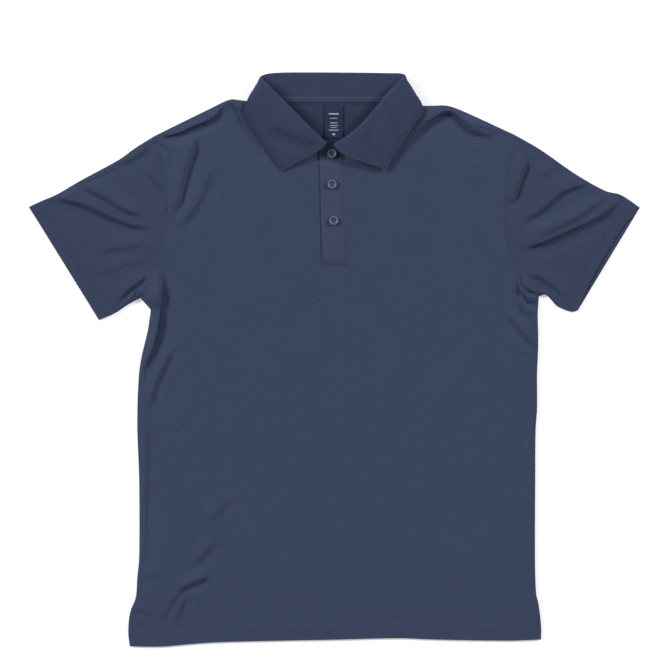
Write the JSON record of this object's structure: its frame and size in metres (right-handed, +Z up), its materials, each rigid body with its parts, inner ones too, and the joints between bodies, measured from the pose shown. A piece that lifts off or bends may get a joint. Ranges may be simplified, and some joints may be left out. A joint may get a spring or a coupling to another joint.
{
  "type": "polo shirt",
  "caption": "Short-sleeved polo shirt in plain knit, laid flat with the front up: fold-down collar, buttoned placket, side vents at the hem.",
  "frame": {"origin": "middle of the shirt's box, on the surface it lies on", "axes": "+X to the wearer's left, from sleeve to sleeve; +Y from hem to collar; +Z up, out of the front"},
  "size_m": [0.812, 0.7634, 0.0165],
  "materials": {
    "jersey": "matt jersey knit",
    "jersey_inside": "matt jersey knit",
    "collar_knit": "matt fine rib with two raised lines",
    "tape": "matt twill tape",
    "label": "smooth woven label, no words",
    "button": "semi-gloss"
  },
  "bodies": {
    "root": {"back": "jersey_inside", "front": "jersey", "sleeve_right": "jersey", "sleeve_left": "jersey", "collar": "collar_knit", "neck_tape": "tape", "placket": "jersey", "label": "label", "button_1": "button", "button_2": "button", "button_3": "button"}
  },
  "joints": []
}
